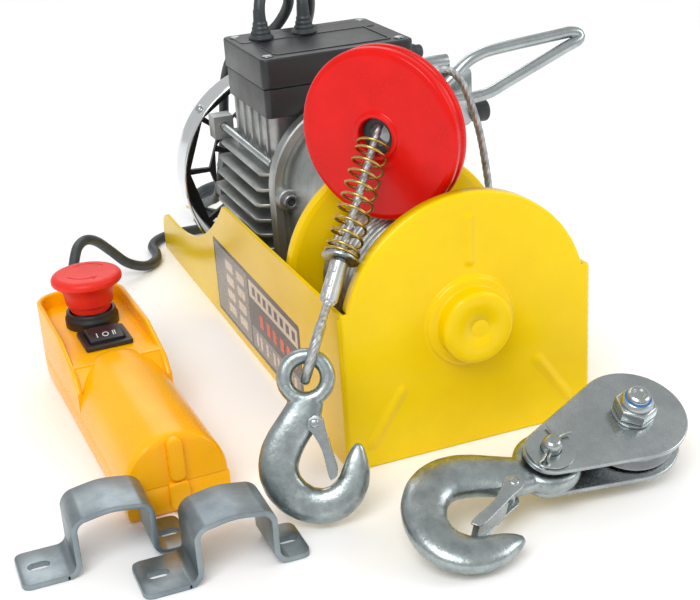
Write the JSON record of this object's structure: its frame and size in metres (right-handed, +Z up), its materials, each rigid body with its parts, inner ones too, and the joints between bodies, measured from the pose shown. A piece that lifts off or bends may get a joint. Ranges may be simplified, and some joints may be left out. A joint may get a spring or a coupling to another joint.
{
  "type": "electric wire rope hoist",
  "caption": "Electric rope hoist in a sheet-steel channel frame, with rope hook, stop disc, cut-out lever, pendant control, pulley block and mounting straps.",
  "frame": {"origin": "middle of the underside of the frame channel's base", "axes": "+Z up from the base; the drum and motor axes run along Y with the motor at +Y; the cut-out lever sticks out at +X"},
  "size_m": [0.4026, 0.6439, 0.2297],
  "materials": {
    "yellow_paint": "glossy",
    "steel": "satin",
    "wire_rope": "satin",
    "cast_aluminium": "matte",
    "aluminium": "satin",
    "zinc_steel": "satin",
    "chrome": "polished",
    "black_plastic": "matte",
    "white_plastic": "matte",
    "rubber": "matte",
    "yellow_zinc": "satin",
    "red_plastic": "glossy",
    "yellow_plastic": "glossy"
  },
  "bodies": {
    "hoist": {"frame_channel": "yellow_paint", "front_end_plate": "yellow_paint", "front_bearing": "steel", "gearbox_housing": "cast_aluminium", "motor_housing": "cast_aluminium", "stator": "steel", "rear_end_shield": "cast_aluminium", "tie_bolt_left": "zinc_steel", "tie_bolt_right": "zinc_steel", "fan_cover": "chrome", "fan_grille": "black_plastic", "box_base": "black_plastic", "box_lid": "black_plastic", "pendant_grommet": "rubber", "mains_grommet": "rubber", "motor_capacitor": "white_plastic", "limit_switch": "black_plastic", "lever_bracket": "zinc_steel", "lever_sleeve": "zinc_steel", "rubber_buffer": "rubber", "rope_free": "wire_rope", "ferrule": "aluminium", "spring_washer": "zinc_steel", "compression_spring": "yellow_zinc", "thimble": "zinc_steel", "pendant_cable_upper": "rubber", "pendant_cable_coil": "rubber", "pendant_cable_lower": "rubber", "mains_cable": "rubber", "mains_plug": "rubber"},
    "drum": {"drum_barrel": "steel", "drum_rear_flange": "yellow_paint", "rope_winding": "wire_rope", "drum_ring_gear": "steel"},
    "intermediate_shaft": {"intermediate_gear": "steel"},
    "motor_rotor": {"motor_shaft": "steel", "rotor": "steel", "cooling_fan": "black_plastic"},
    "lever": {"limit_lever": "zinc_steel"},
    "disc": {"stop_disc": "red_plastic"},
    "hook": {"rope_hook": "zinc_steel"},
    "hook_latch": {"rope_hook_latch": "zinc_steel"},
    "pendant": {"pendant_lower_shell": "yellow_plastic", "pendant_upper_shell": "yellow_plastic", "estop_base": "black_plastic", "rocker_frame": "black_plastic", "pendant_strain_relief": "rubber"},
    "estop": {"estop_button": "red_plastic"},
    "rocker": {"rocker_switch": "black_plastic"},
    "strap_left": {"mounting_strap_left": "zinc_steel"},
    "strap_right": {"mounting_strap_right": "zinc_steel"},
    "block": {"block_plate_upper": "zinc_steel", "block_plate_lower": "zinc_steel", "sheave_bolt": "zinc_steel", "sheave_nut": "zinc_steel", "clevis_pin": "zinc_steel", "clevis_washer": "zinc_steel"},
    "block_sheave": {"sheave": "steel"},
    "block_swivel": {"block_hook": "zinc_steel"},
    "block_latch": {"block_hook_latch": "zinc_steel"}
  },
  "joints": [
    {"name": "drum_spin", "type": "hinge", "parent": "hoist", "child": "drum", "pos_m": [0, -0.15, 0.076], "axis": [0, 1, 0], "continuous": true},
    {"name": "intermediate_spin", "type": "hinge", "parent": "hoist", "child": "intermediate_shaft", "pos_m": [0, -0.09, 0.116], "axis": [0, 1, 0], "continuous": true},
    {"name": "motor_spin", "type": "hinge", "parent": "hoist", "child": "motor_rotor", "pos_m": [0, 0, 0.08], "axis": [0, 1, 0], "continuous": true},
    {"name": "lever_lift", "type": "hinge", "parent": "hoist", "child": "lever", "pos_m": [0.038, -0.0816, 0.169], "axis": [0, 1, 0], "range_deg": [-8, 4], "stiffness_Nm_per_rad": 0.4},
    {"name": "disc_slide", "type": "slide", "parent": "hoist", "child": "disc", "axis": [0.5156, 0.4585, 0.7238], "range_m": [0, 0.012]},
    {"name": "hook_swing", "type": "hinge", "parent": "hoist", "child": "hook", "pos_m": [-0.1018, -0.2203, 0.0726], "axis": [-0.3181, -0.8645, 0.3891], "range_deg": [-8, 25]},
    {"name": "hook_latch_open", "type": "hinge", "parent": "hook", "child": "hook_latch", "pos_m": [-0.10197, -0.22971, 0.05155], "axis": [-0.3181, -0.8645, 0.3891], "range_deg": [-24, 0], "stiffness_Nm_per_rad": 0.02, "springref_deg": 5.73},
    {"name": "pendant_lift", "type": "slide", "parent": "hoist", "child": "pendant", "axis": [0, 0, 1], "range_m": [0, 0.06]},
    {"name": "estop_press", "type": "slide", "parent": "pendant", "child": "estop", "axis": [0, 0, -1], "range_m": [0, 0.004], "stiffness_N_per_m": 2500},
    {"name": "rocker_tilt", "type": "hinge", "parent": "pendant", "child": "rocker", "pos_m": [-0.17501, -0.05609, 0.045], "axis": [0.9994, 0.0349, 0], "range_deg": [-8, 8], "stiffness_Nm_per_rad": 0.2},
    {"name": "strap_left_lift", "type": "slide", "parent": "hoist", "child": "strap_left", "axis": [0, 0, 1], "range_m": [0, 0.05]},
    {"name": "strap_right_push", "type": "slide", "parent": "hoist", "child": "strap_right", "axis": [0, -1, 0], "range_m": [0, 0.05]},
    {"name": "block_lift", "type": "slide", "parent": "hoist", "child": "block", "axis": [0, 0, 1], "range_m": [0, 0.06]},
    {"name": "sheave_spin", "type": "hinge", "parent": "block", "child": "block_sheave", "pos_m": [0.0576, -0.2732, 0.0288], "axis": [0, -0.3746, 0.9272], "continuous": true},
    {"name": "block_hook_swivel", "type": "hinge", "parent": "block", "child": "block_swivel", "pos_m": [0.00344, -0.28206, 0.02522], "axis": [0, -0.3746, 0.9272], "range_deg": [-25, 0]},
    {"name": "block_latch_open", "type": "hinge", "parent": "block_swivel", "child": "block_latch", "pos_m": [-0.0217, -0.29171, 0.02132], "axis": [0, -0.3746, 0.9272], "range_deg": [-24, 0], "stiffness_Nm_per_rad": 0.02, "springref_deg": 5.73}
  ],
  "couplings": [
    {"joint": "intermediate_spin", "follows": "drum_spin", "ratio": 5},
    {"joint": "motor_spin", "follows": "drum_spin", "ratio": -17.5}
  ]
}
